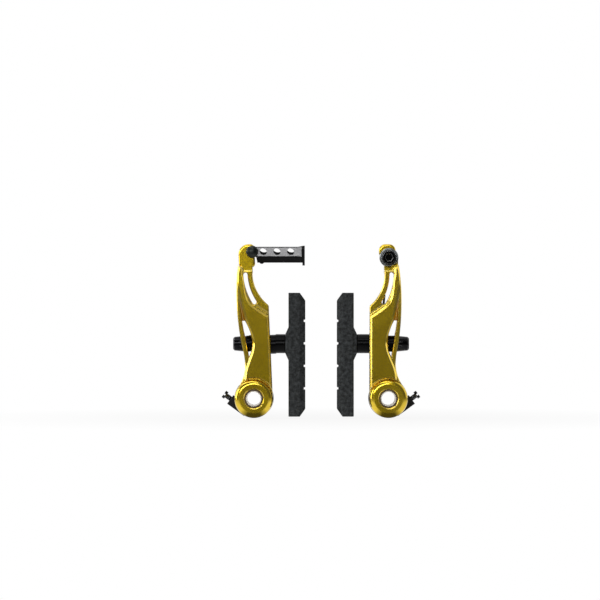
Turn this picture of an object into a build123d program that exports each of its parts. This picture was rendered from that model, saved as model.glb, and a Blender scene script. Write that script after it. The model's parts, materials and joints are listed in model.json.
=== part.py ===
from build123d import *
from math import cos, radians, sin, sqrt
import os

os.makedirs("parts", exist_ok=True)

# Linear-pull brake: two mirrored arms. X to the right, Z up, Y away from the front.
# Origin midway between the two pivot axes, on the plane where the bushes meet the frame.
# Each side is drawn with its pivot at the origin and x towards the rim.

# Stance of the pair: distances in mm, angles in degrees
BOSS_SPACING = 80.0
LEFT_LEAN = 2.4
RIGHT_LEAN = 0.0
PAD_AXIS_Z = 32.6
CABLE_Z = 87.3

# Depths in front of the frame plane
HOLDER_DEPTH = 6.0
BOSS_BACK = 6.3
ARM_BACK = 6.6
ARM_FRONT = 20.8
PLATE_RISE = 1.4
BOSS_RISE = 0.4

# Pivot
BORE_R = 4.05
BUSH_R = 4.85
SLEEVE_R = 5.5
BOSS_R = 11.5
BOSS_ROUND = 3.0
BOSS_GROOVE = 0.6
GROOVE_DEPTH = 2.2
GROOVE_BEVEL = 0.6
BUSH_RECESS = 0.5
BORE_BEVEL = 0.6
RUNNING_GAP = 0.05

# Outline of the arm: x outwards or inwards, drops below the cable line
FOOT_ANGLE = 138.0
INNER_X = 11.2
WAIST_X = 4.4
WAIST_Z = 23.5
RIB_X = 5.8
BULGE_X = 7.75
BULGE_DROP = 33.0
BRANCH_X = 6.1
BRANCH_DROP = 7.9
NOTCH_X = 3.9
NOTCH_DROP = 9.0
BRANCH_END_X = 2.6
NECK_X = 2.5
NECK_DROP = 16.3
CURVE_X = 4.85
CURVE_DROP = 24.1
SHOULDER_DROP = 32.2
SHOULDER_R = 2.0
EDGE = 0.5

# Curved upper slot
SLOT_W = 2.5
SLOT_TOP_X = 1.9
SLOT_TOP_DROP = 13.5
SLOT_TOP_WALL = 1.15
SLOT_MID_X = 0.75
SLOT_MID_DROP = 21.7
SLOT_END_X = 2.75
SLOT_END_DROP = 30.0

# Side opening and rib
RIB_W = 2.75
OPENING_RISE = 13.8
OPENING_TOP_W = 1.7
OPENING_MID_RISE = 5.0
OPENING_X = 0.5
OPENING_FALL = 7.6
OPENING_TIP_X = 1.8

# Raised front plate
PLATE_INSET = 0.4
PLATE_BEVEL = 1.0
STEP_DROP = 38.8
STEP_MID_X = 3.25
STEP_MID_DROP = 33.4
STEP_TOP_X = 0.2
STEP_TOP_DROP = 29.9
CREST_X = 6.7
CREST_DROP = 21.3
FALL_X = 5.2
FALL_DROP = 28.7
PLATE_WAIST_X = 3.3
PLATE_WAIST_Z = 19.5
PLATE_FOOT_X = 5.0
STEP_GROOVE_W = 0.8
STEP_GROOVE_DEPTH = 0.7
STEP_GROOVE_RISE = 1.9
SCOOP_X = 6.4
SCOOP_RISE = 15.5
SCOOP_W = 2.6
SCOOP_DEPTH = 2.8

# Pad stud slot and nut passage
STUD_SLOT_W = 6.4
STUD_SLOT_H = 14.0
PASSAGE_W = 10.8
PASSAGE_H = 16.0
SEAT_X = 1.5

# Heads on top of the arms
HEAD_RISE = 4.6
HEAD_ROUND = 1.2
HEAD_FOOT_R = 2.4
HEAD_DEPTH = 5.8
LEFT_HEAD_IN = 4.1
LEFT_HEAD_OUT = 5.6
LEFT_HEAD_H = 14.0
LEFT_HEAD_OUT_R = 6.0
LEFT_HEAD_IN_R = 2.6
RIGHT_HEAD_IN = 5.55
RIGHT_HEAD_OUT = 4.4
RIGHT_HEAD_H = 7.5
RIGHT_HEAD_R = 3.8
NECK_SINK = 1.5
RIGHT_NECK_OUT = 5.9
RIGHT_NECK_DROP = 4.8

# Pad
PAD_BACK_X = 20.6
PAD_FACE_X = 30.6
PAD_ABOVE = 30.3
PAD_BELOW = 43.3
PAD_WIDTH = 12.6
PAD_FACE_WIDTH = 7.6
PAD_CREASE_X = 27.3
PAD_EDGE = 0.6
PAD_TIP_X = 3.3
PAD_TIP_Z = 4.6
HUMP_H = 1.9
HUMP_TOP = 11.4
HUMP_FOOT = 19.6
GROOVES = 4
GROOVE_PITCH = 13.4
GROOVE_W = 1.4
GROOVE_IN = 0.9

# Pad stud, washers and nut
STUD_R = 3.0
STUD_HEAD_R = 5.0
STUD_HEAD_IN = 3.2
STUD_HEAD_T = 1.6
WASHER_BORE_R = 3.3
CUP_BORE_R = 3.7
CUP_T = 1.2
INNER_WASHER_R = 5.7
INNER_BALL_R = 9.0
OUTER_WASHER_R = 4.85
OUTER_BALL_R = 8.0
WASHER_EDGE = 0.35
BALL_GAP = 0.02
NUT_END_X = 12.3
NUT_LENGTH = 7.6
NUT_R = 4.75
NUT_TIP_R = 4.1
NUT_ROUND = 0.8
NUT_FLUTES = 10
NUT_FLUTE_R = 0.75
NUT_SOCKET_R = 2.6
NUT_SOCKET_DEPTH = 3.0
STUD_SHORT = 3.6

# Spring holder
HOLDER_R = 11.7
HOLDER_HUB_R = 6.5
HOLDER_CUP_R = 9.5
HOLDER_FLOOR = 0.9
EAR_ANGLE = 36.0
EAR_LENGTH = 11.1
EAR_INNER = 6.0
EAR_OUTER = 12.2
EAR_TAIL = 1.5
WINDOW_FROM = 25.0
WINDOW_TO = 95.0
WINDOW_DEPTH = 2.2
ANCHOR_PIN_R = 1.15
ANCHOR_PIN_LENGTH = 4.0
ANCHOR_PIN_X = 8.0

# Tension screw
SCREW_R = 1.45
SCREW_OFFSET = 8.6
SCREW_DEPTH = 3.0
SCREW_TIP = 5.3
SCREW_REACH = 3.2
SCREW_HEAD_R = 2.4
SCREW_HEAD_T = 1.8
SCREW_CROSS_W = 1.0
SCREW_CROSS_DEPTH = 1.1

# Return spring
WIRE_R = 0.7
COIL_R = 8.0
COIL_BACK = 1.9
COIL_PITCH = 1.48
COIL_TURN_COUNT = 2
COIL_POINT_COUNT = 16
LEG_POINT_COUNT = 4
TAIL_LENGTH = 3.0
LEG_LENGTH = 61.0
LEFT_LEG_ANGLE = 2.3
RIGHT_LEG_ANGLE = 5.5
PEG_R = 1.2
PEG_Z = 49.5
PEG_OUT = 2.6
PEG_IN = 4.0

# Cable link
LINK_T = 1.4
LINK_SIDE_GAP = 0.15
LINK_EAR_R = 2.9
LINK_TOP = 2.9
LINK_BOTTOM = 3.2
LINK_DEEP = 6.5
LINK_FLOOR_W = 4.0
LINK_START = 2.4
LINK_START_SLANT = 0.7
LINK_LENGTH = 31.3
LINK_FLARE_L = 2.6
LINK_FLARE = 0.5
LINK_WALL_TOP = 3.5
LINK_WALL_BOTTOM = 8.2
LINK_WALL_W = 11.0
LINK_WALL_TIP_W = 5.0
LINK_HOLES = 3
LINK_HOLE_X = 6.6
LINK_HOLE_PITCH = 8.15
LINK_HOLE_L = 4.4
LINK_HOLE_H = 3.7
LINK_HOLE_TILT = -35.0
REAR_HOLE_H = 2.4
REAR_HOLE_RISE = 1.0
REAR_HOLE_TILT = -14.0
LINK_LIP_X = 5.7
LINK_LIP_R = 1.5
KEY_R = 2.3
KEY_SLIT = 2.0
LINK_PIN_X = 2.65
LINK_PIN_R = 1.9
LINK_CAP_R = 3.6
LINK_CAP_H = 2.4
LINK_CAP_RIM = 0.8
LINK_TAIL = 1.6
CLIP_R = 3.0
CLIP_T = 0.6
CLIP_GROOVE_R = 1.5
CLIP_MOUTH = 2.4

# Cable anchor
CABLE_R = 0.8
ANCHOR_DROP = 3.4
ANCHOR_X = -0.4
ANCHOR_BOLT_R = 2.5
ANCHOR_HEAD_R = 4.2
ANCHOR_HEAD_H = 3.6
ANCHOR_EDGE = 0.5
ANCHOR_SOCKET_R = 2.4
ANCHOR_SOCKET_DEPTH = 2.4
ANCHOR_LAND_R = 5.3
ANCHOR_WASHER_R = 5.65
ANCHOR_WASHER_T = 3.2
ANCHOR_LENGTH = 5.0

# Values that follow from the sizes above
CENTRE_DEPTH = (ARM_BACK + ARM_FRONT) / 2
PLATE_FRONT = ARM_FRONT + PLATE_RISE
BOSS_FRONT = PLATE_FRONT + BOSS_RISE
BUSH_LENGTH = BOSS_FRONT - BUSH_RECESS
HEAD_TOP = CABLE_Z + HEAD_RISE
ANCHOR_Z = CABLE_Z - ANCHOR_DROP
ANCHOR_FACE = CENTRE_DEPTH - CABLE_R
HEAD_FRONT = CENTRE_DEPTH + HEAD_DEPTH / 2
HEAD_BACK = CENTRE_DEPTH - HEAD_DEPTH / 2
BRANCH_END_DROP = SLOT_TOP_DROP - SLOT_W / 2 - SLOT_TOP_WALL
LINK_INSIDE_W = HEAD_DEPTH + 2 * LINK_SIDE_GAP
LINK_WIDTH = LINK_INSIDE_W + 2 * LINK_T
NUT_FACE_X = NUT_LENGTH - NUT_END_X
HUMP_X = PAD_BACK_X - HUMP_H
TURNED = Plane(origin=(0, 0, 0), x_dir=(1, 0, 0), z_dir=(0, 0, -1))


def below(drop):
    """Height of a point that hangs a given drop under the cable line."""
    return CABLE_Z - drop


def polar(radius, angle):
    return radius * cos(radians(angle)), radius * sin(radians(angle))


def prism(face, back, front):
    """Front-view face given depth, from one distance in front of the frame plane to another."""
    return extrude(Plane.XZ.offset(back) * face, amount=front - back)


def turned(points):
    """Solid turned about the pivot axis from radius and depth pairs."""
    return revolve(TURNED * make_face(Polyline(*points, close=True)), axis=Axis.Y)


def round_bar(radius, back, front, x=0, z=0):
    return prism(Pos(x, z) * Circle(radius), back, front)


def outline():
    """Silhouette of the arm from the foot to the ends of its two branches."""
    foot = polar(BOSS_R, FOOT_ANGLE)
    outer = Spline(
        foot,
        (-WAIST_X, WAIST_Z),
        (-RIB_X, PAD_AXIS_Z),
        (-BULGE_X, below(BULGE_DROP)),
        (-BRANCH_X, below(BRANCH_DROP)),
    )
    top = Polyline(
        outer @ 1,
        (-NOTCH_X, below(NOTCH_DROP)),
        (-BRANCH_END_X, below(BRANCH_END_DROP)),
        (NECK_X, below(BRANCH_END_DROP)),
    )
    inner = Spline(
        top @ 1,
        (NECK_X, below(NECK_DROP)),
        (CURVE_X, below(CURVE_DROP)),
        (INNER_X, below(SHOULDER_DROP)),
    )
    sides = Polyline(inner @ 1, (INNER_X, 0), (0, 0), foot)
    face = make_face([outer, top, inner, sides])
    corner = face.vertices().group_by(Axis.X)[-1].sort_by(Axis.Y)[-1]
    return fillet(corner, SHOULDER_R)


def upper_slot():
    middle = ThreePointArc(
        (-SLOT_TOP_X, below(SLOT_TOP_DROP)),
        (-SLOT_MID_X, below(SLOT_MID_DROP)),
        (SLOT_END_X, below(SLOT_END_DROP)),
    )
    return SlotArc(middle, SLOT_W)


def side_opening():
    """Gap between the rib and the plate, widest at the pad stud."""
    top = PAD_AXIS_Z + OPENING_RISE
    rib = Spline(
        (-OPENING_TIP_X, PAD_AXIS_Z - OPENING_FALL),
        (RIB_W - RIB_X, PAD_AXIS_Z),
        (RIB_W - BULGE_X, top),
    )
    ledge = Line(rib @ 1, (RIB_W - BULGE_X + OPENING_TOP_W, top))
    plate = Spline(
        ledge @ 1,
        (0, PAD_AXIS_Z + OPENING_MID_RISE),
        (OPENING_X, PAD_AXIS_Z),
        rib @ 0,
    )
    return make_face([rib, ledge, plate])


def plate_step():
    """Upper end of the raised plate, from the inner edge to the tip of the outer branch."""
    slot_side = SLOT_W / 2 + PLATE_INSET
    return Spline(
        (INNER_X - PLATE_INSET, below(STEP_DROP)),
        (STEP_MID_X, below(STEP_MID_DROP)),
        (-STEP_TOP_X, below(STEP_TOP_DROP)),
        (-SLOT_MID_X - slot_side, below(SLOT_MID_DROP)),
        (-SLOT_TOP_X - slot_side, below(SLOT_TOP_DROP)),
    )


def raised_plate():
    """Front face of the raised level, with its foot hidden under the boss."""
    step = plate_step()
    tip = Polyline(
        step @ 1,
        (-NOTCH_X + PLATE_INSET, below(NOTCH_DROP + PLATE_INSET)),
        (-BRANCH_X + PLATE_INSET, below(BRANCH_DROP + PLATE_INSET)),
    )
    fall = Spline(
        tip @ 1,
        (-CREST_X, below(CREST_DROP)),
        (-FALL_X, below(FALL_DROP)),
        (RIB_W - BULGE_X + OPENING_TOP_W + PLATE_INSET, PAD_AXIS_Z + OPENING_RISE),
        (OPENING_X + PLATE_INSET, PAD_AXIS_Z),
        (-PLATE_WAIST_X, PLATE_WAIST_Z),
        (-PLATE_FOOT_X, BOSS_R),
    )
    sides = Polyline(fall @ 1, (0, 0), (INNER_X - PLATE_INSET, 0), step @ 0)
    return make_face([step, tip, fall, sides])


def step_groove():
    """Shallow groove across the inner branch, just above the step of the raised plate."""
    line = Spline(
        (INNER_X + EDGE, below(STEP_DROP) + STEP_GROOVE_RISE - EDGE),
        (STEP_MID_X, below(STEP_MID_DROP) + STEP_GROOVE_RISE),
        (SLOT_END_X - SLOT_W / 2, below(SLOT_END_DROP)),
    )
    return prism(trace(line, STEP_GROOVE_W), ARM_FRONT - STEP_GROOVE_DEPTH, ARM_FRONT)


def scoop():
    """Hollow that deepens between rib and plate until it runs into the side opening."""
    top = PAD_AXIS_Z + OPENING_RISE
    plate_x = RIB_W - BULGE_X + OPENING_TOP_W + PLATE_INSET
    mouth = make_face(Polyline(
        (plate_x, -ARM_FRONT),
        (plate_x - SCOOP_W, -ARM_FRONT),
        (plate_x - SCOOP_W / 2, SCOOP_DEPTH - ARM_FRONT),
        close=True,
    ))
    return loft([Pos(0, 0, top - EDGE) * mouth, Vertex(-SCOOP_X, -ARM_FRONT, top + SCOOP_RISE)])


def lever():
    """The arm without its head: two levels, boss, slots and the passages for the pad stud."""
    body = prism(outline() - upper_slot() - side_opening(), ARM_BACK, ARM_FRONT)
    ends = body.faces().filter_by(Axis.Y).sort_by(Axis.Y)
    body = chamfer(ends[0].edges() + ends[-1].edges(), EDGE) - step_groove() - scoop()
    plate = prism(raised_plate(), ARM_FRONT - PLATE_RISE, PLATE_FRONT)
    face = plate.faces().filter_by(Axis.Y).sort_by(Axis.Y)[0]
    body += chamfer(face.edges(), PLATE_BEVEL)
    body -= prism(upper_slot(), ARM_BACK, PLATE_FRONT) + prism(side_opening(), ARM_BACK, PLATE_FRONT)
    rim = BOSS_R + BOSS_GROOVE
    body -= turned([
        (0, PLATE_FRONT - GROOVE_DEPTH),
        (rim, PLATE_FRONT - GROOVE_DEPTH),
        (rim, PLATE_FRONT - GROOVE_BEVEL),
        (rim + GROOVE_BEVEL, PLATE_FRONT),
        (0, PLATE_FRONT),
    ])
    boss = turned([
        (0, BOSS_BACK),
        (BOSS_R - EDGE, BOSS_BACK),
        (BOSS_R, BOSS_BACK + EDGE),
        (BOSS_R, BOSS_FRONT),
        (0, BOSS_FRONT),
    ])
    crown = boss.faces().filter_by(Axis.Y).sort_by(Axis.Y)[0]
    body += fillet(crown.edges(), BOSS_ROUND)
    body -= turned([
        (0, BOSS_BACK),
        (SLEEVE_R, BOSS_BACK),
        (SLEEVE_R, BOSS_FRONT - BORE_BEVEL),
        (SLEEVE_R + BORE_BEVEL, BOSS_FRONT),
        (0, BOSS_FRONT),
    ])
    side = Plane.YZ * Pos(-CENTRE_DEPTH, PAD_AXIS_Z)
    body -= extrude(side * SlotOverall(STUD_SLOT_H, STUD_SLOT_W, rotation=90), amount=INNER_X + EDGE)
    passage = extrude(side * SlotOverall(PASSAGE_H, PASSAGE_W, rotation=90), amount=-BOSS_R - SEAT_X)
    body -= Pos(SEAT_X, 0, 0) * passage
    return body - round_bar(PEG_R, ARM_BACK, ARM_BACK + PEG_IN, peg_x(), PEG_Z)


def peg_x():
    """The peg stands against the outer side of the right spring's leg."""
    start_x, start_z = polar(COIL_R, RIGHT_LEG_ANGLE)
    step_x, step_z = polar(1, RIGHT_LEG_ANGLE + 90)
    return start_x + step_x * (PEG_Z - start_z) / step_z - (WIRE_R + PEG_R + RUNNING_GAP)


def head(inner, outer, height, inner_r, outer_r, back, front, neck_out, neck_top):
    """Rounded lug on a neck that runs down into the ends of the branches."""
    middle = HEAD_TOP - height / 2
    block = Pos((inner - outer) / 2, middle) * Rectangle(inner + outer, height)
    block = fillet(block.vertices().group_by(Axis.Y)[0], HEAD_FOOT_R)
    block = fillet(block.vertices().group_by(Axis.Y)[-1].sort_by(Axis.X)[-1], inner_r)
    block = fillet(block.vertices().sort_by(Axis.Y)[-2:].sort_by(Axis.X)[0], outer_r)
    lug = prism(block, back, front)
    lug = fillet(lug.faces().filter_by(Axis.Y).edges(), HEAD_ROUND)
    foot = below(BRANCH_END_DROP) - NECK_SINK
    neck = Pos((NECK_X - neck_out) / 2, (foot + neck_top) / 2) * Rectangle(NECK_X + neck_out, neck_top - foot)
    return lug + prism(neck, back, front) - prism(upper_slot(), back, front)


def left_arm():
    lug = (LEFT_HEAD_IN, LEFT_HEAD_OUT, LEFT_HEAD_H, LEFT_HEAD_IN_R, LEFT_HEAD_OUT_R)
    arm = lever() + head(*lug, HEAD_BACK, HEAD_FRONT, NOTCH_X, HEAD_TOP - LEFT_HEAD_H / 2)
    return arm - round_bar(LINK_PIN_R, HEAD_BACK, HEAD_FRONT, LINK_PIN_X, CABLE_Z)


def right_arm():
    lug = (RIGHT_HEAD_IN, RIGHT_HEAD_OUT, RIGHT_HEAD_H, RIGHT_HEAD_R, RIGHT_HEAD_R)
    arm = lever() + head(*lug, ARM_BACK, ANCHOR_FACE, RIGHT_NECK_OUT, below(RIGHT_NECK_DROP))
    arm += round_bar(ANCHOR_LAND_R, ARM_BACK, ANCHOR_FACE, ANCHOR_X, ANCHOR_Z)
    return arm - round_bar(ANCHOR_BOLT_R, ARM_BACK, ANCHOR_FACE, ANCHOR_X, ANCHOR_Z)


def pivot_bush():
    return turned([
        (BORE_R, 0),
        (BUSH_R, 0),
        (BUSH_R, BUSH_LENGTH - WASHER_EDGE),
        (BUSH_R - WASHER_EDGE, BUSH_LENGTH),
        (BORE_R, BUSH_LENGTH),
    ])


def bearing_sleeve():
    inside = BUSH_R + RUNNING_GAP
    return round_bar(SLEEVE_R, BOSS_BACK, BUSH_LENGTH) - round_bar(inside, BOSS_BACK, BUSH_LENGTH)


def ear_point(along, off):
    """Point of the front view measured along the tension screw and away from the pivot."""
    along_x, along_z = polar(along, 180 - EAR_ANGLE)
    off_x, off_z = polar(off, 270 - EAR_ANGLE)
    return along_x + off_x, along_z + off_z


def ear_bar(radius, start, end):
    """Round bar on the tension screw's axis."""
    x, z = ear_point(start, SCREW_OFFSET)
    out_x, out_z = polar(1, 180 - EAR_ANGLE)
    axis = Plane(origin=(x, -SCREW_DEPTH, z), z_dir=(out_x, 0, out_z))
    return extrude(axis * Circle(radius), amount=end - start)


def spring_holder():
    ear = Polyline(
        ear_point(0, EAR_INNER),
        ear_point(EAR_LENGTH, EAR_INNER),
        ear_point(EAR_LENGTH, EAR_OUTER),
        ear_point(-EAR_TAIL, EAR_OUTER),
        close=True,
    )
    cup = prism(Circle(HOLDER_R) + make_face(ear), 0, HOLDER_DEPTH)
    ends = cup.faces().filter_by(Axis.Y).sort_by(Axis.Y)
    cup = chamfer(ends[0].edges(), EDGE)
    cup -= prism(Circle(HOLDER_CUP_R) - Circle(HOLDER_HUB_R), HOLDER_FLOOR, HOLDER_DEPTH)
    cup -= round_bar(BUSH_R, 0, HOLDER_DEPTH)
    far = HOLDER_R + EAR_LENGTH
    wedge = make_face(Polyline(
        (0, 0),
        polar(far, WINDOW_FROM),
        polar(far, (WINDOW_FROM + WINDOW_TO) / 2),
        polar(far, WINDOW_TO),
        close=True,
    ))
    cup -= prism(wedge - Circle(HOLDER_HUB_R + WIRE_R), HOLDER_DEPTH - WINDOW_DEPTH, HOLDER_DEPTH)
    cup -= ear_bar(SCREW_R + RUNNING_GAP, SCREW_TIP, EAR_LENGTH)
    return cup + round_bar(ANCHOR_PIN_R, -ANCHOR_PIN_LENGTH, HOLDER_FLOOR, ANCHOR_PIN_X, 0)


def tension_screw():
    neck = EAR_LENGTH + SCREW_REACH
    top = neck + SCREW_HEAD_T
    screw = ear_bar(SCREW_R, SCREW_TIP, neck) + ear_bar(SCREW_HEAD_R, neck, top)
    x, z = ear_point(top - SCREW_CROSS_DEPTH, SCREW_OFFSET)
    out_x, out_z = polar(1, 180 - EAR_ANGLE)
    end = Plane(origin=(x, -SCREW_DEPTH, z), x_dir=(0, 1, 0), z_dir=(out_x, 0, out_z))
    across = 2 * SCREW_HEAD_R
    cross = Rectangle(across, SCREW_CROSS_W) + Rectangle(SCREW_CROSS_W, across)
    return screw - extrude(end * cross, amount=SCREW_CROSS_DEPTH)


def return_spring(leg_angle):
    """Tail towards the tension screw, coil round the bush, leg up the back of the arm."""
    start_angle = 270 - EAR_ANGLE
    winding = 360 * (COIL_TURN_COUNT + 1) + leg_angle - start_angle
    count = COIL_POINT_COUNT * (COIL_TURN_COUNT + 1)
    tail_x, tail_z = ear_point(TAIL_LENGTH, COIL_R)
    points = [Vector(tail_x, tail_z, COIL_BACK)]
    for index in range(count + 1):
        share = index / count
        x, z = polar(COIL_R, start_angle + share * winding)
        points.append(Vector(x, z, COIL_BACK + share * COIL_PITCH * winding / 360))
    coil_end = points[-1]
    reach_x, reach_z = polar(LEG_LENGTH, leg_angle + 90)
    for halving in range(LEG_POINT_COUNT, -1, -1):
        points.append(coil_end + Vector(reach_x, reach_z, 0) * 0.5 ** halving)
    path = Spline(*points)
    section = Plane(origin=path @ 0, z_dir=path % 0) * Circle(WIRE_R)
    return Plane.XZ * sweep(section, path=path)


def spring_peg():
    return round_bar(PEG_R, ARM_BACK - PEG_OUT, ARM_BACK + PEG_IN, peg_x(), PEG_Z)


def on_stud(points):
    """Solid turned about the pad stud from pairs of x and radius."""
    solid = revolve(Plane.XZ * make_face(Polyline(*points, close=True)), axis=Axis.X)
    return Pos(0, -CENTRE_DEPTH, PAD_AXIS_Z) * solid


def pad_stud():
    flange = PAD_BACK_X + STUD_HEAD_IN
    return on_stud([
        (STUD_SHORT - NUT_END_X, 0),
        (STUD_SHORT - NUT_END_X, STUD_R),
        (flange, STUD_R),
        (flange, STUD_HEAD_R),
        (flange + STUD_HEAD_T, STUD_HEAD_R),
        (flange + STUD_HEAD_T, 0),
    ])


def brake_pad():
    """Block shaped by its front view and its cross section, grooved across the braking face."""
    top = PAD_AXIS_Z + PAD_ABOVE
    bottom = PAD_AXIS_Z - PAD_BELOW
    front_view = make_face(Polyline(
        (PAD_BACK_X, bottom),
        (PAD_FACE_X - PAD_TIP_X, bottom),
        (PAD_FACE_X, bottom + PAD_TIP_Z),
        (PAD_FACE_X, top - PAD_TIP_Z),
        (PAD_FACE_X - PAD_TIP_X, top),
        (PAD_BACK_X, top),
        (PAD_BACK_X, PAD_AXIS_Z + HUMP_FOOT / 2),
        (HUMP_X, PAD_AXIS_Z + HUMP_TOP / 2),
        (HUMP_X, PAD_AXIS_Z - HUMP_TOP / 2),
        (PAD_BACK_X, PAD_AXIS_Z - HUMP_FOOT / 2),
        close=True,
    ))
    half = PAD_WIDTH / 2
    section = make_face(Polyline(
        (HUMP_X, -half + PAD_EDGE),
        (PAD_BACK_X, -half + PAD_EDGE),
        (PAD_BACK_X + PAD_EDGE, -half),
        (PAD_CREASE_X, -half),
        (PAD_FACE_X, -PAD_FACE_WIDTH / 2),
        (PAD_FACE_X, PAD_FACE_WIDTH / 2),
        (PAD_CREASE_X, half),
        (PAD_BACK_X + PAD_EDGE, half),
        (PAD_BACK_X, half - PAD_EDGE),
        (HUMP_X, half - PAD_EDGE),
        close=True,
    ))
    pad = prism(front_view, CENTRE_DEPTH - half, CENTRE_DEPTH + half)
    pad &= Pos(0, -CENTRE_DEPTH, bottom) * extrude(section, amount=top - bottom)
    middle = (top + bottom) / 2
    for index in range(GROOVES):
        z = middle + (index - (GROOVES - 1) / 2) * GROOVE_PITCH
        cut = Pos(PAD_FACE_X, z) * Rectangle(2 * GROOVE_IN, GROOVE_W)
        pad -= prism(cut, CENTRE_DEPTH - half, CENTRE_DEPTH + half)
    return pad - pad_stud()


def sphere_drop(ball_r, radius):
    return sqrt(ball_r ** 2 - radius ** 2)


def cup_solid(ball_r, radius):
    """Cup washer on the x axis, ball centre at the origin, flat side towards negative x."""
    flat = -ball_r - CUP_T
    ring = Polyline(
        (flat, 0),
        (flat, radius - WASHER_EDGE),
        (flat + WASHER_EDGE, radius),
        (-sphere_drop(ball_r, radius), radius),
        (-sphere_drop(ball_r, radius), 0),
        close=True,
    )
    cup = revolve(Plane.XZ * make_face(ring), axis=Axis.X) - Sphere(ball_r)
    return cup - Rot(0, 90, 0) * Cylinder(CUP_BORE_R, 4 * ball_r)


def ball_solid(ball_r, radius, flat):
    """Ball washer on the x axis, ball centre at the origin, flat side at a given x."""
    ring = Polyline(
        (-ball_r, 0),
        (-ball_r, radius),
        (flat - WASHER_EDGE, radius),
        (flat, radius - WASHER_EDGE),
        (flat, 0),
        close=True,
    )
    ball = revolve(Plane.XZ * make_face(ring), axis=Axis.X) & Sphere(ball_r - BALL_GAP)
    return ball - Rot(0, 90, 0) * Cylinder(WASHER_BORE_R, 4 * ball_r)


def ball_centre(face_x, lean):
    """Where the stud axis meets the plane at face_x on an arm that leans outwards."""
    return (face_x - PAD_AXIS_Z * sin(radians(lean))) / cos(radians(lean))


def inner_washers(lean):
    centre = ball_centre(INNER_X + CUP_T + INNER_BALL_R, lean)
    here = Pos(centre, -CENTRE_DEPTH, PAD_AXIS_Z)
    cup = here * Rot(0, -lean, 0) * cup_solid(INNER_BALL_R, INNER_WASHER_R)
    return cup, here * ball_solid(INNER_BALL_R, INNER_WASHER_R, HUMP_X - centre)


def outer_washers(lean):
    centre = ball_centre(SEAT_X - CUP_T - OUTER_BALL_R, lean)
    here = Pos(centre, -CENTRE_DEPTH, PAD_AXIS_Z)
    cup = here * Rot(0, -lean, 0) * mirror(cup_solid(OUTER_BALL_R, OUTER_WASHER_R), about=Plane.YZ)
    ball = ball_solid(OUTER_BALL_R, OUTER_WASHER_R, centre - NUT_FACE_X)
    return cup, here * mirror(ball, about=Plane.YZ)


def pad_nut():
    """Tapered nut with flutes along its side and a hex socket in its end."""
    tip = -NUT_END_X
    nut = on_stud([
        (tip, 0),
        (tip, NUT_TIP_R - NUT_ROUND),
        (tip + NUT_ROUND, NUT_TIP_R),
        (NUT_FACE_X - WASHER_EDGE, NUT_R),
        (NUT_FACE_X, NUT_R - WASHER_EDGE),
        (NUT_FACE_X, 0),
    ])
    end = Plane(origin=(tip, -CENTRE_DEPTH, PAD_AXIS_Z), z_dir=(1, 0, 0))
    flutes = Sketch() + PolarLocations(NUT_R + NUT_FLUTE_R / 2, NUT_FLUTES) * Circle(NUT_FLUTE_R)
    nut -= extrude(end * flutes, amount=NUT_LENGTH)
    nut -= extrude(end * RegularPolygon(NUT_SOCKET_R, 6), amount=NUT_SOCKET_DEPTH)
    bore = Pos(0, 0, NUT_SOCKET_DEPTH) * Circle(STUD_R + RUNNING_GAP)
    return nut - extrude(end * bore, amount=NUT_LENGTH)


def link_side(hole_h, rise, tilt):
    """One side plate of the cable link in front view, link pin at the origin, with its row of holes."""
    wall = LINK_LENGTH - LINK_T
    plate = make_face(Polyline(
        (0, -LINK_EAR_R),
        (LINK_START, -LINK_BOTTOM),
        (wall - LINK_FLARE_L, -LINK_BOTTOM),
        (wall, -LINK_BOTTOM - LINK_FLARE),
        (wall, LINK_TOP + LINK_FLARE),
        (wall - LINK_FLARE_L, LINK_TOP),
        (0, LINK_EAR_R),
        close=True,
    ))
    side = plate + Circle(LINK_EAR_R)
    for index in range(LINK_HOLES):
        place = Pos(LINK_HOLE_X + index * LINK_HOLE_PITCH, rise)
        side -= place * Ellipse(LINK_HOLE_L / 2, hole_h / 2, rotation=tilt)
    return side - Circle(LINK_PIN_R + RUNNING_GAP)


def channel(half_width, floor_w, floor):
    """Cross section of the trough under the side plates."""
    return make_face(Polyline(
        (-half_width, -LINK_BOTTOM),
        (-floor_w / 2, -floor),
        (floor_w / 2, -floor),
        (half_width, -LINK_BOTTOM),
        close=True,
    ))


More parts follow.
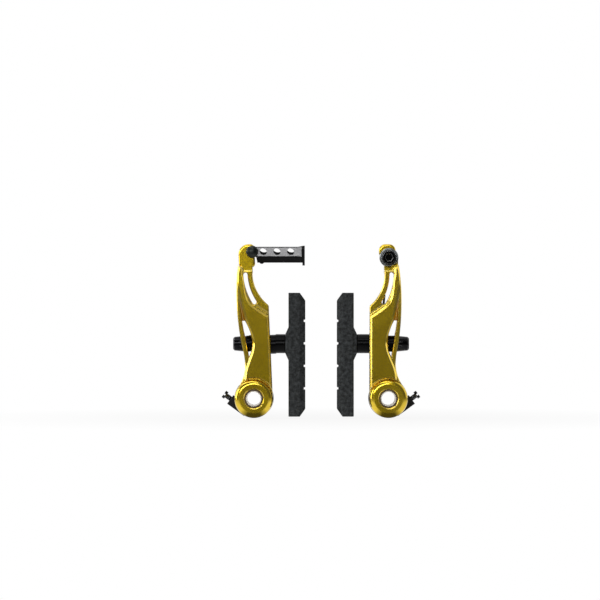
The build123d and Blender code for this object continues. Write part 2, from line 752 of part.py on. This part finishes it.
def cable_link():
    """Folded channel with a keyhole in its end wall for the guide pipe."""
    half = LINK_WIDTH / 2
    wall = LINK_LENGTH - LINK_T
    front = prism(link_side(LINK_HOLE_H, 0, LINK_HOLE_TILT), half - LINK_T, half)
    face = front.faces().filter_by(Axis.Y).sort_by(Axis.Y)[0]
    rear = prism(link_side(REAR_HOLE_H, REAR_HOLE_RISE, REAR_HOLE_TILT), -half, LINK_T - half)
    rear_face = rear.faces().filter_by(Axis.Y).sort_by(Axis.Y)[-1]
    link = chamfer(face.outer_wire().edges(), EDGE) + chamfer(rear_face.outer_wire().edges(), EDGE)
    trough = channel(half, LINK_FLOOR_W, LINK_DEEP)
    trough -= channel(half - LINK_T, LINK_FLOOR_W - LINK_T, LINK_DEEP - LINK_T)
    trough = Pos(LINK_START, 0, 0) * extrude(Plane.YZ * trough, amount=wall - LINK_START)
    corner = make_face(Polyline(
        (LINK_START, -LINK_BOTTOM),
        (LINK_START + LINK_START_SLANT, -LINK_DEEP),
        (LINK_START, -LINK_DEEP),
        close=True,
    ))
    link += trough - prism(corner, -half, half)
    end_wall = make_face(Polyline(
        (-LINK_WALL_W / 2, LINK_WALL_TOP),
        (-LINK_WALL_W / 2, -LINK_BOTTOM),
        (-LINK_WALL_TIP_W / 2, -LINK_WALL_BOTTOM),
        (LINK_WALL_TIP_W / 2, -LINK_WALL_BOTTOM),
        (LINK_WALL_W / 2, -LINK_BOTTOM),
        (LINK_WALL_W / 2, LINK_WALL_TOP),
        close=True,
    ))
    slit = Pos(0, LINK_WALL_TOP / 2) * Rectangle(KEY_SLIT, LINK_WALL_TOP)
    end_wall -= Circle(KEY_R) + slit
    link += Pos(wall, 0, 0) * extrude(Plane.YZ * end_wall, amount=LINK_T)
    lip = Pos(LINK_LIP_X, LINK_LIP_R / 2 - LINK_DEEP) * Circle(LINK_LIP_R)
    lip -= Pos(LINK_LIP_X, LINK_LIP_R - LINK_DEEP + LINK_T / 2) * Rectangle(3 * LINK_LIP_R, LINK_LIP_R)
    link += prism(lip, -LINK_FLOOR_W / 2, LINK_FLOOR_W / 2)
    return Pos(0, -CENTRE_DEPTH, 0) * link


def link_pin():
    """Pin with a domed cap in front and a groove for its clip at the rear."""
    front = CENTRE_DEPTH + LINK_WIDTH / 2 + LINK_SIDE_GAP
    back = CENTRE_DEPTH - LINK_WIDTH / 2 - LINK_SIDE_GAP
    cap = turned([
        (0, front),
        (LINK_CAP_R, front),
        (LINK_CAP_R, front + LINK_CAP_RIM),
        (0, front + LINK_CAP_RIM),
    ])
    dome_h = LINK_CAP_H - LINK_CAP_RIM
    dome_r = (LINK_CAP_R ** 2 + dome_h ** 2) / (2 * dome_h)
    dome = Pos(0, -front - LINK_CAP_H + dome_r, 0) * Sphere(dome_r)
    cap += dome & round_bar(LINK_CAP_R, front + LINK_CAP_RIM, front + LINK_CAP_H)
    pin = cap + round_bar(LINK_PIN_R, back - LINK_TAIL, front)
    groove = Circle(LINK_PIN_R) - Circle(CLIP_GROOVE_R)
    return pin - prism(groove, back - CLIP_T, back)


def link_clip():
    back = CENTRE_DEPTH - LINK_WIDTH / 2 - LINK_SIDE_GAP
    mouth = Pos(0, -CLIP_R / 2) * Rectangle(CLIP_MOUTH, CLIP_R)
    return prism(Circle(CLIP_R) - Circle(CLIP_GROOVE_R) - mouth, back - CLIP_T, back)


def anchor_washer():
    """Thick washer with a round-bottomed groove that presses the cable on the arm's head."""
    front = ANCHOR_FACE + ANCHOR_WASHER_T
    washer = turned([
        (ANCHOR_BOLT_R, ANCHOR_FACE),
        (ANCHOR_WASHER_R, ANCHOR_FACE),
        (ANCHOR_WASHER_R, front - ANCHOR_EDGE),
        (ANCHOR_WASHER_R - ANCHOR_EDGE, front),
        (ANCHOR_BOLT_R, front),
    ])
    groove = Pos(-CENTRE_DEPTH, ANCHOR_DROP) * Circle(CABLE_R)
    groove += Pos(-ANCHOR_FACE, ANCHOR_DROP) * Rectangle(2 * CABLE_R, 2 * CABLE_R)
    return washer - extrude(Plane.YZ * groove, amount=ANCHOR_WASHER_R, both=True)


def anchor_bolt():
    seat = ANCHOR_FACE + ANCHOR_WASHER_T
    top = seat + ANCHOR_HEAD_H
    bolt = turned([
        (0, ANCHOR_FACE - ANCHOR_LENGTH),
        (ANCHOR_BOLT_R, ANCHOR_FACE - ANCHOR_LENGTH),
        (ANCHOR_BOLT_R, seat),
        (ANCHOR_HEAD_R, seat),
        (ANCHOR_HEAD_R, top - ANCHOR_EDGE),
        (ANCHOR_HEAD_R - ANCHOR_EDGE, top),
        (0, top),
    ])
    return bolt - prism(RegularPolygon(ANCHOR_SOCKET_R, 6), top - ANCHOR_SOCKET_DEPTH, top)


def on_left(shape, lean=0.0):
    return Pos(-BOSS_SPACING / 2, 0, 0) * Rot(0, -lean, 0) * shape


def on_right(shape, lean=0.0):
    return Pos(BOSS_SPACING / 2, 0, 0) * mirror(Rot(0, -lean, 0) * shape, about=Plane.YZ)


def save(name, shape):
    export_step(Compound(shape.solids()) if len(shape.solids()) > 1 else shape.solid(), f"parts/{name}.step")


def save_side(side, place, lean, arm, leg_angle):
    """Pieces that both sides have. Those that lean go with the arm, the others stay upright."""
    inner_cup, inner_ball = inner_washers(lean)
    outer_cup, outer_ball = outer_washers(lean)
    upright = {
        "pivot_bush": pivot_bush(),
        "spring_holder": spring_holder(),
        "tension_screw": tension_screw(),
        "brake_pad": brake_pad(),
        "pad_stud": pad_stud(),
        "inner_cup_washer": inner_cup,
        "inner_ball_washer": inner_ball,
        "outer_cup_washer": outer_cup,
        "outer_ball_washer": outer_ball,
        "pad_nut": pad_nut(),
    }
    leaning = {
        "arm": arm,
        "bearing_sleeve": bearing_sleeve(),
        "return_spring": return_spring(leg_angle),
        "spring_peg": spring_peg(),
    }
    for name, shape in upright.items():
        save(f"{side}_{name}", place(shape))
    for name, shape in leaning.items():
        save(f"{side}_{name}", place(shape, lean))


save_side("left", on_left, LEFT_LEAN, left_arm(), LEFT_LEG_ANGLE)
save_side("right", on_right, RIGHT_LEAN, right_arm(), RIGHT_LEG_ANGLE)

# The cable link hangs level from its pin, whichever way the left arm leans
pin_place = Pos(LINK_PIN_X, 0, CABLE_Z)
pin_at = (Rot(0, -LEFT_LEAN, 0) * pin_place).position
save("link_pin", on_left(pin_place * link_pin(), LEFT_LEAN))
save("link_clip", on_left(pin_place * link_clip(), LEFT_LEAN))
save("cable_link", on_left(Pos(pin_at) * cable_link()))

# Cable anchor on the right arm
anchor_place = Pos(ANCHOR_X, 0, ANCHOR_Z)
save("anchor_washer", on_right(anchor_place * anchor_washer(), RIGHT_LEAN))
save("anchor_bolt", on_right(anchor_place * anchor_bolt(), RIGHT_LEAN))
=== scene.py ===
import json
from math import cos, pi, radians, sin

import bmesh
import bpy
from mathutils import Matrix, Vector


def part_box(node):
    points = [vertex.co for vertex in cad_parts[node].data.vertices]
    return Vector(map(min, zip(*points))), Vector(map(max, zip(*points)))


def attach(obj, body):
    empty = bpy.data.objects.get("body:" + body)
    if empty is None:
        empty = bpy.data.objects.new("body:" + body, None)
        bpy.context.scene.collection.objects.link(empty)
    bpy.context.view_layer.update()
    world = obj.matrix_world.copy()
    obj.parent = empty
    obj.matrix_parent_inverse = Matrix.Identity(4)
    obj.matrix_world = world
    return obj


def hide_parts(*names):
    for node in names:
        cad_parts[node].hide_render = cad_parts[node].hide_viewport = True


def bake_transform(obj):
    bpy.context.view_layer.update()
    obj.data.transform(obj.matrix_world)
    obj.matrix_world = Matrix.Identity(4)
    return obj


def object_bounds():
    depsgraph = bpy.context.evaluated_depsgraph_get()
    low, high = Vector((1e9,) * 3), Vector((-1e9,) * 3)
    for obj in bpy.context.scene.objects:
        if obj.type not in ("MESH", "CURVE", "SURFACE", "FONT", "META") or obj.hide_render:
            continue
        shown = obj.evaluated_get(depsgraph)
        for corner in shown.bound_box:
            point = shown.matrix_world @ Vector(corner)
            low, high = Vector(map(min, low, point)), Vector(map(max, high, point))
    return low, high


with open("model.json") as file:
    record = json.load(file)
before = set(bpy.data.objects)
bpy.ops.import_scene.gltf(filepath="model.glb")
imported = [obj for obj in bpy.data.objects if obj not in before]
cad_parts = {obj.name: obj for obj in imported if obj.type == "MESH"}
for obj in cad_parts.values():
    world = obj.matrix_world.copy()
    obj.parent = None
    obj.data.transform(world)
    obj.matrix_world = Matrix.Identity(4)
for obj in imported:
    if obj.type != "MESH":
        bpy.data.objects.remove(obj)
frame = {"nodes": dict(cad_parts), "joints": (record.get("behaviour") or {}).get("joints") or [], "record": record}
nodes = frame["nodes"]
cad_low, cad_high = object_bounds()
SIDES = ("left", "right")

# Distance of each pivot from the middle, in metres, read from the bush on the right
right_low, right_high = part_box("right_pivot_bush")
PIVOT_X = (right_low.x + right_high.x) / 2

# Cable link: middle and half width of its channel, and the inner face of its end wall
link_low, link_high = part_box("cable_link")
LINK_MIDDLE = (link_low.y + link_high.y) / 2
LINK_HALF = 0.00445
LINK_SHEET = 0.0014
LINK_WALL_X = link_high.x - LINK_SHEET
LINK_WALL_SOFT = 0.0001
LINK_STRETCH = 0.06

# Edges that catch the light: radius over which each finish rounds them
GOLD_EDGE = 0.00045
BLACK_EDGE = 0.00025
LINK_EDGE = 0.0003

# Pads: rounding of the moulded edges
PAD_EDGE = 0.00035
PAD_EDGE_STEPS = 3
WELD_GAP = 0.000002
FLAT_ANGLE = radians(0.4)
SHARP_ANGLE = radians(28)

# Thread of the tension screws
THREAD_GAP = 0.0003
THREAD_REACH = 0.0026
THREAD_R = 0.00145
THREAD_PITCH = 0.0005
THREAD_RISE = 0.00014
THREAD_ROOT_SINK = 0.00005
THREAD_CREST_SINK = 0.00002
THREAD_ROOT_HALF = 0.42 * THREAD_PITCH
THREAD_CREST_HALF = 0.06 * THREAD_PITCH
THREAD_STEPS = 28
THREAD_RUN_OUTS = 6

# Turning marks on the bushes
TURNING_PITCH = 0.00025

# Camera
FRAME_WIDTH = 0.3579
CAMERA_DISTANCE = 2.4
CAMERA_X = -0.01255
CAMERA_Z = 0.0586
SENSOR_MM = 36
CLIP_END = 20

# Levels of the light that is mirrored: from the dark opening in front, at 0, to the pale back, at 1
TENT_FRONT = 0.125
TENT_BACK = 0.9
TENT_BETWEEN = ((0.02, 0.125), (0.08, 0.14), (0.2, 0.1), (0.36, 0.2), (0.5, 0.75), (0.7, 0.8))
AMBIENT = 0.07

# Floor
FLOOR_SIZE = 12
FLOOR_GAP = 0.0005
PAPER_TONE = 0.86


# Small helpers for node trees
def add(tree, kind, inputs=None, **settings):
    made = tree.nodes.new(kind)
    for key, value in settings.items():
        setattr(made, key, value)
    for key, value in (inputs or {}).items():
        if isinstance(value, bpy.types.NodeSocket):
            tree.links.new(value, made.inputs[key])
        else:
            made.inputs[key].default_value = value
    return made


def reckon(tree, operation, first, second=None):
    inputs = {0: first}
    if second is not None:
        inputs[1] = second
    return add(tree, "ShaderNodeMath", inputs, operation=operation).outputs["Value"]


def split(tree, vector):
    return add(tree, "ShaderNodeSeparateXYZ", {"Vector": vector}).outputs


def length(tree, vector):
    return add(tree, "ShaderNodeVectorMath", {0: vector}, operation="LENGTH").outputs["Value"]


def mix_colours(tree, share, first, second):
    made = add(tree, "ShaderNodeMix", {"Factor": share, "A": first, "B": second}, data_type="RGBA")
    return made.outputs["Result"]


def noise(tree, place, size, detail=2.0, roughness=0.5):
    """Noise whose features are about a given size across, in metres."""
    made = add(tree, "ShaderNodeTexNoise", {"Vector": place, "Scale": 1 / size, "Detail": detail,
                                           "Roughness": roughness})
    return made.outputs["Fac"]


def spread(tree, value, low, high, start=0.3, end=0.7):
    made = add(tree, "ShaderNodeMapRange", {"Value": value, "From Min": start, "From Max": end,
                                           "To Min": low, "To Max": high})
    return made.outputs["Result"]


def two_colours(tree, value, first, second, start=0.35, end=0.65):
    made = add(tree, "ShaderNodeValToRGB", {"Fac": value})
    ramp = made.color_ramp.elements
    ramp[0].position = start
    ramp[0].color = (*first, 1)
    ramp[1].position = end
    ramp[1].color = (*second, 1)
    return made.outputs["Color"]


def bump(tree, value, depth, strength=1.0, below=None):
    """Bump of a given depth in metres, on top of another one where it is given."""
    inputs = {"Height": value, "Distance": depth, "Strength": strength}
    if below is not None:
        inputs["Normal"] = below
    return add(tree, "ShaderNodeBump", inputs).outputs["Normal"]


def round_edges(tree, radius, samples):
    return add(tree, "ShaderNodeBevel", {"Radius": radius}, samples=samples).outputs["Normal"]


def edge_share(tree, rounded, most, start):
    """How much of an edge there is at a point: nothing on a flat face, up to a given share on an edge."""
    plain = add(tree, "ShaderNodeNewGeometry").outputs["Normal"]
    facing = add(tree, "ShaderNodeVectorMath", {0: plain, 1: rounded}, operation="DOT_PRODUCT")
    return spread(tree, facing.outputs["Value"], most, 0.0, start, 1.0)


# Finishes
def start_material(name, metallic, specular=0.5):
    """Material with an empty Principled shader. Returns it with its tree, shader and object coordinates."""
    made = bpy.data.materials.new(name)
    made.use_nodes = True
    tree = made.node_tree
    shader = tree.nodes["Principled BSDF"]
    shader.inputs["Metallic"].default_value = metallic
    shader.inputs["Specular IOR Level"].default_value = specular
    place = add(tree, "ShaderNodeTexCoord").outputs["Object"]
    return made, tree, shader, place


def finish_material(tree, shader, colour, roughness, normal):
    tree.links.new(colour, shader.inputs["Base Color"])
    tree.links.new(roughness, shader.inputs["Roughness"])
    tree.links.new(normal, shader.inputs["Normal"])


def gold(dark, pale, wear_and_highlight_colour):
    """Anodised aluminium: satin from bead blasting, with a paler colour along the edges that is partly wear from
    handling and partly a painted highlight.
    """
    made, tree, shader, place = start_material("gold_anodised", metallic=1.0)
    tone = two_colours(tree, noise(tree, place, size=0.016, detail=6.0, roughness=0.7), dark, pale)
    rounded = round_edges(tree, GOLD_EDGE, samples=16)
    edge = edge_share(tree, rounded, most=0.9, start=0.9)
    patches = spread(tree, noise(tree, place, size=0.0016), low=0.7, high=1.0)
    broken = reckon(tree, "MULTIPLY", edge, patches)
    # Paler colour along the edges: partly wear, partly a painted highlight
    wear_and_highlight = mix_colours(tree, broken, tone, (*wear_and_highlight_colour, 1))
    grain = noise(tree, place, size=0.00035, detail=3.0, roughness=0.6)
    satin = spread(tree, grain, low=0.17, high=0.23)
    blasted = bump(tree, grain, depth=0.000003, strength=0.3, below=rounded)
    finish_material(tree, shader, wear_and_highlight, satin, blasted)
    shader.inputs["Coat Weight"].default_value = 0.9
    shader.inputs["Coat Roughness"].default_value = 0.1
    shader.inputs["Coat IOR"].default_value = 1.6
    return made


def rubber(dark, pale):
    """Moulded brake rubber: mottled, with a coarse and a fine unevenness."""
    made, tree, shader, place = start_material("pad_rubber", metallic=0.0, specular=0.22)
    broad = noise(tree, place, size=0.002, detail=4.0, roughness=0.7)
    tone = two_colours(tree, broad, dark, pale, start=0.38, end=0.68)
    coarse = bump(tree, noise(tree, place, size=0.004), depth=0.00012, strength=0.5)
    pores = noise(tree, place, size=0.0007, detail=4.0, roughness=0.6)
    fine = bump(tree, pores, depth=0.00005, strength=0.7, below=coarse)
    finish_material(tree, shader, tone, spread(tree, broad, low=0.55, high=0.72), fine)
    return made


def black_metal(name, dark, pale, rub_and_highlight, rough_low, rough_high):
    """Black oxide on steel: almost black, with a paler colour along the edges, partly wear from rubbing and partly
    a painted highlight.
    """
    made, tree, shader, place = start_material(name, metallic=1.0)
    grain = noise(tree, place, size=0.0005, detail=3.0, roughness=0.6)
    rounded = round_edges(tree, BLACK_EDGE, samples=12)
    edge = edge_share(tree, rounded, most=0.6, start=0.88)
    tone = two_colours(tree, noise(tree, place, size=0.004, detail=3.0), dark, pale)
    # Paler colour on the edges: partly wear from rubbing, partly a painted highlight
    wear_and_highlight = mix_colours(tree, edge, tone, (*rub_and_highlight, 1))
    satin = spread(tree, grain, rough_low, rough_high)
    pitted = bump(tree, grain, depth=0.00001, strength=0.5, below=rounded)
    finish_material(tree, shader, wear_and_highlight, satin, pitted)
    return made


def plastic(name, dark, pale, rough_low, rough_high, specular=0.45):
    made, tree, shader, place = start_material(name, metallic=0.0, specular=specular)
    grain = noise(tree, place, size=0.0004, detail=3.0, roughness=0.6)
    tone = two_colours(tree, noise(tree, place, size=0.006, detail=3.0), dark, pale)
    satin = spread(tree, grain, rough_low, rough_high)
    finish_material(tree, shader, tone, satin, bump(tree, grain, depth=0.00002, strength=0.6))
    return made


def turned_steel(name, dark, pale, rough_low, rough_high):
    """Bright metal with fine turning rings about the nearer pivot axis."""
    made, tree, shader, place = start_material(name, metallic=1.0)
    parts = split(tree, place)
    off = reckon(tree, "SUBTRACT", reckon(tree, "ABSOLUTE", parts["X"]), PIVOT_X)
    flat = add(tree, "ShaderNodeCombineXYZ", {"X": off, "Z": parts["Z"]}).outputs["Vector"]
    turns = reckon(tree, "MULTIPLY", length(tree, flat), 2 * pi / TURNING_PITCH)
    rings = reckon(tree, "SINE", turns)
    streaks = noise(tree, place, size=0.0012, detail=4.0, roughness=0.6)
    tone = two_colours(tree, streaks, dark, pale)
    satin = spread(tree, streaks, rough_low, rough_high)
    finish_material(tree, shader, tone, satin, bump(tree, rings, depth=0.000006, strength=0.4))
    return made


def link_finish(black, dark, pale):
    """Steel sheet, black but for the outer sides of its two plates, which are a satin grey."""
    made, tree, shader, place = start_material("link_steel", metallic=0.35, specular=0.2)
    shape = add(tree, "ShaderNodeTexCoord").outputs["Normal"]
    where = split(tree, place)
    off = reckon(tree, "SUBTRACT", where["Y"], LINK_MIDDLE)
    outward = reckon(tree, "MULTIPLY", off, split(tree, shape)["Y"])
    plate = spread(tree, outward, low=0.0, high=1.0, start=0.92 * LINK_HALF, end=0.97 * LINK_HALF)
    wall_start = LINK_WALL_X - 2 * LINK_WALL_SOFT
    wall_end = LINK_WALL_X - LINK_WALL_SOFT
    wall = spread(tree, where["X"], low=1.0, high=0.0, start=wall_start, end=wall_end)
    # Grey share: faces that point outward from the middle of the channel along Y, away from the end wall; black
    # elsewhere
    grey_share = reckon(tree, "MULTIPLY", plate, wall)
    stretched = add(tree, "ShaderNodeMapping", {"Vector": place, "Scale": (LINK_STRETCH, 1, 1)})
    lines = noise(tree, stretched.outputs["Vector"], size=0.00022, detail=3.0, roughness=0.6)
    tone = mix_colours(tree, grey_share, (*black, 1), two_colours(tree, lines, dark, pale))
    satin = spread(tree, lines, low=0.28, high=0.42)
    rounded = round_edges(tree, LINK_EDGE, samples=12)
    scratched = bump(tree, lines, depth=0.000006, strength=0.4, below=rounded)
    finish_material(tree, shader, tone, satin, scratched)
    return made


MATERIALS = {
    # Gold: its last colour goes along the edges, partly wear and partly a painted highlight
    "gold_anodised": gold((0.68, 0.46, 0.003), (0.88, 0.62, 0.006), (0.98, 0.9, 0.56)),
    "pad_rubber": rubber((0.009, 0.0105, 0.0105), (0.074, 0.08, 0.083)),
    # Black metals: their third colour goes along the edges, partly wear from rubbing and partly a painted
    # highlight, which is brightest on the black hardware
    "black_hardware": black_metal("black_hardware", (0.008, 0.008, 0.0085), (0.016, 0.016, 0.017),
                                  (0.75, 0.75, 0.76), rough_low=0.1, rough_high=0.18),
    "link_steel": link_finish((0.004, 0.004, 0.0045), (0.4, 0.4, 0.41), (0.56, 0.56, 0.57)),
    "bright_steel": turned_steel("bright_steel", (0.88, 0.83, 0.75), (0.95, 0.91, 0.84),
                                 rough_low=0.45, rough_high=0.58),
    "spring_steel": black_metal("spring_steel", (0.03, 0.03, 0.032), (0.06, 0.06, 0.063),
                                (0.1, 0.1, 0.105), rough_low=0.25, rough_high=0.4),
    "sleeve_plastic": plastic("sleeve_plastic", (0.1, 0.062, 0.022), (0.15, 0.1, 0.04),
                              rough_low=0.4, rough_high=0.55),
    "holder_plastic": plastic("holder_plastic", (0.003, 0.003, 0.0033), (0.007, 0.007, 0.0075),
                              rough_low=0.36, rough_high=0.5, specular=0.2),
    "matt_black": plastic("matt_black", (0.0007, 0.0007, 0.0008), (0.0015, 0.0015, 0.0017),
                          rough_low=0.16, rough_high=0.24, specular=0.09),
    "satin_black": black_metal("satin_black", (0.03, 0.034, 0.03), (0.05, 0.055, 0.05),
                               (0.09, 0.095, 0.09), rough_low=0.36, rough_high=0.46),
    "anchor_steel": black_metal("anchor_steel", (0.13, 0.14, 0.145), (0.26, 0.275, 0.28),
                                (0.5, 0.52, 0.53), rough_low=0.2, rough_high=0.32),
}

# Each node gets the finish of its slot; the pad washers and the link's pin have blacks of their own
for part in frame["record"]["subparts"]:
    shown = nodes[part["node"]]
    shown.data.materials.clear()
    finish = part["material_slot"]
    if part["node"].endswith(("ball_washer", "cup_washer")):
        finish = "matt_black"
    if part["node"] == "link_pin":
        finish = "satin_black"
    shown.data.materials.append(MATERIALS[finish])


def place_object(name, data):
    made = bpy.data.objects.new(name, data)
    bpy.context.scene.collection.objects.link(made)
    return made


# Softened edges on the moulded pads
for side in SIDES:
    pad = nodes[f"{side}_brake_pad"]
    weld = pad.modifiers.new("weld", "WELD")
    weld.merge_threshold = WELD_GAP
    flat = pad.modifiers.new("flat", "DECIMATE")
    flat.decimate_type = "DISSOLVE"
    flat.angle_limit = FLAT_ANGLE
    edge = pad.modifiers.new("edge", "BEVEL")
    edge.width = PAD_EDGE
    edge.segments = PAD_EDGE_STEPS
    edge.limit_method = "ANGLE"
    edge.angle_limit = SHARP_ANGLE
    edge.harden_normals = True


# Thread on the tension screws, where they stand clear of their ears
def thread_mesh(name):
    """Helical ridge round the Z axis, which rises from the screw's surface and runs out at both ends."""
    count = int(THREAD_STEPS * THREAD_REACH / THREAD_PITCH)
    ridge = bmesh.new()
    rings = []
    for index in range(count + 1):
        angle = 2 * pi * index / THREAD_STEPS
        share = index / count
        rise = THREAD_RISE * min(1.0, THREAD_RUN_OUTS * share, THREAD_RUN_OUTS * (1 - share))
        level = THREAD_REACH * share
        out = Vector((cos(angle), sin(angle), 0))
        root = THREAD_R - THREAD_ROOT_SINK
        crest = THREAD_R + rise - THREAD_CREST_SINK
        corners = ((root, -THREAD_ROOT_HALF), (crest, -THREAD_CREST_HALF),
                   (crest, THREAD_CREST_HALF), (root, THREAD_ROOT_HALF))
        points = [out * radius + Vector((0, 0, level + shift)) for radius, shift in corners]
        rings.append([ridge.verts.new(point) for point in points])
    for one, two in zip(rings, rings[1:]):
        for corner in range(len(one)):
            after = (corner + 1) % len(one)
            ridge.faces.new((one[corner], one[after], two[after], two[corner]))
    ridge.faces.new(rings[0])
    ridge.faces.new(list(reversed(rings[-1])))
    bmesh.ops.recalc_face_normals(ridge, faces=ridge.faces)
    mesh = bpy.data.meshes.new(name)
    ridge.to_mesh(mesh)
    ridge.free()
    return mesh


for joint in frame["joints"]:
    if joint["child"].endswith("tension_screw"):
        name = joint["child"] + "_thread"
        mesh = thread_mesh(name)
        start = Vector(joint["pos_m"]) + THREAD_GAP * Vector(joint["axis"])
        turn = Vector(joint["axis"]).normalized().to_track_quat("Z", "Y").to_matrix().to_4x4()
        mesh.transform(Matrix.Translation(start) @ turn)
        made = place_object(name, mesh)
        made.data.materials.append(MATERIALS["black_hardware"])
        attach(made, joint["child"])

# Return springs: each is shown as a copy of its mesh, with the part itself hidden
for side in SIDES:
    node = nodes[f"{side}_return_spring"]
    spring = place_object(f"{side}_return_spring_wound", node.data.copy())
    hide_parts(f"{side}_return_spring")
    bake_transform(spring)

# Camera: level, long lens, where the photograph was taken from
lens = bpy.data.cameras.new("camera")
lens.sensor_width = SENSOR_MM
lens.lens = lens.sensor_width * CAMERA_DISTANCE / FRAME_WIDTH
lens.clip_end = CLIP_END
camera = place_object("camera", lens)
middle_y = (cad_low.y + cad_high.y) / 2
camera.location = (CAMERA_X, middle_y - CAMERA_DISTANCE, CAMERA_Z)
camera.rotation_euler = (pi / 2, 0, 0)
bpy.context.scene.camera = camera


# Soft boxes round the object
def soft_box(name, place, width, height, brightness, target=(0, -0.012, 0.04)):
    """Area lamp that faces the object and looks about as bright as a white wall times brightness."""
    lamp = bpy.data.lights.new(name, "AREA")
    lamp.shape = "RECTANGLE"
    lamp.size = width
    lamp.size_y = height
    lamp.energy = brightness * pi * width * height
    made = place_object(name, lamp)
    made.location = place
    made.rotation_euler = (Vector(target) - Vector(place)).to_track_quat("-Z", "Y").to_euler()


soft_box("key_box", (-0.3, -0.3, 0.95), width=1.6, height=0.24, brightness=2.5)
soft_box("strip_box", (-0.28, -1.0, 0.32), width=0.7, height=0.22, brightness=5.5)
soft_box("left_box", (-1.0, -0.12, 0.15), width=0.5, height=0.8, brightness=4.0)
soft_box("right_box", (1.0, 0.05, 0.15), width=0.15, height=0.8, brightness=0.9)
soft_box("top_box", (0.0, -0.1, 1.0), width=0.6, height=0.2, brightness=1.5)


# World: white to the camera, for reflections a tent with a dark opening in front, else dim and even
def grey(level):
    return (level, level, level, 1)


world = bpy.data.worlds.new("room")
world.use_nodes = True
bpy.context.scene.world = world
tree = world.node_tree
depth = split(tree, add(tree, "ShaderNodeTexCoord").outputs["Generated"])["Y"]
way_back = spread(tree, depth, low=0.0, high=1.0, start=-1.0, end=1.0)
tent = add(tree, "ShaderNodeValToRGB", {"Fac": way_back})
stops = tent.color_ramp.elements
stops[0].position = 0.0
stops[0].color = grey(TENT_FRONT)
stops[1].position = 1.0
stops[1].color = grey(TENT_BACK)
for place, level in TENT_BETWEEN:
    stop = stops.new(place)
    stop.color = grey(level)
ray = add(tree, "ShaderNodeLightPath").outputs
mirrored = mix_colours(tree, ray["Is Glossy Ray"], grey(AMBIENT), tent.outputs["Color"])
seen = reckon(tree, "MAXIMUM", ray["Is Camera Ray"], ray["Is Transmission Ray"])
background = tree.nodes["Background"]
tree.links.new(mix_colours(tree, seen, mirrored, grey(1)), background.inputs["Color"])
background.inputs["Strength"].default_value = 1.0

# Floor: pale and matt, just under the object, white further off. Reflections see only a glow on it: a painted
# reflection, bright beside the object and fading with distance, with a painted shadow straight under the bosses
bpy.ops.mesh.primitive_grid_add(x_subdivisions=8, y_subdivisions=8, size=FLOOR_SIZE)
floor = bpy.context.object
floor.name = "floor"
floor.location = (0, 0, cad_low.z - FLOOR_GAP)
paper = bpy.data.materials.new("paper")
paper.use_nodes = True
tree = paper.node_tree
matt = tree.nodes["Principled BSDF"]
matt.inputs["Base Color"].default_value = grey(PAPER_TONE)
matt.inputs["Roughness"].default_value = 0.9
matt.inputs["Specular IOR Level"].default_value = 0.1
ray = add(tree, "ShaderNodeLightPath").outputs
spot = add(tree, "ShaderNodeTexCoord").outputs["Object"]
away = length(tree, spot)
far = spread(tree, away, low=0.9, high=1.0, start=0.06, end=0.25)
beside = reckon(tree, "ABSOLUTE", split(tree, spot)["X"])
clearance = reckon(tree, "ABSOLUTE", reckon(tree, "SUBTRACT", beside, PIVOT_X))
# Painted shadow: the glow seen in reflections is dark straight under each boss
painted_shadow_under_bosses = spread(tree, clearance, low=0.08, high=1.0, start=0.005, end=0.013)
fade = spread(tree, away, low=1.0, high=0.12, start=0.07, end=0.3)
# Painted reflection level: the painted shadow under the bosses times a fall-off with distance
painted_reflection_level = reckon(tree, "MULTIPLY", painted_shadow_under_bosses, fade)
level = add(tree, "ShaderNodeMix", {"Factor": ray["Is Glossy Ray"], "A": 1.0, "B": painted_reflection_level}, data_type="FLOAT")
glow = add(tree, "ShaderNodeEmission", {"Color": grey(1), "Strength": level.outputs["Result"]})
clear = reckon(tree, "MULTIPLY", ray["Is Camera Ray"], far)
share = reckon(tree, "MAXIMUM", clear, ray["Is Glossy Ray"])
mixed = add(tree, "ShaderNodeMixShader", {0: share, 1: matt.outputs["BSDF"], 2: glow.outputs["Emission"]})
tree.links.new(mixed.outputs["Shader"], tree.nodes["Material Output"].inputs["Surface"])
floor.data.materials.append(paper)

bpy.context.scene.view_settings.view_transform = "Standard"
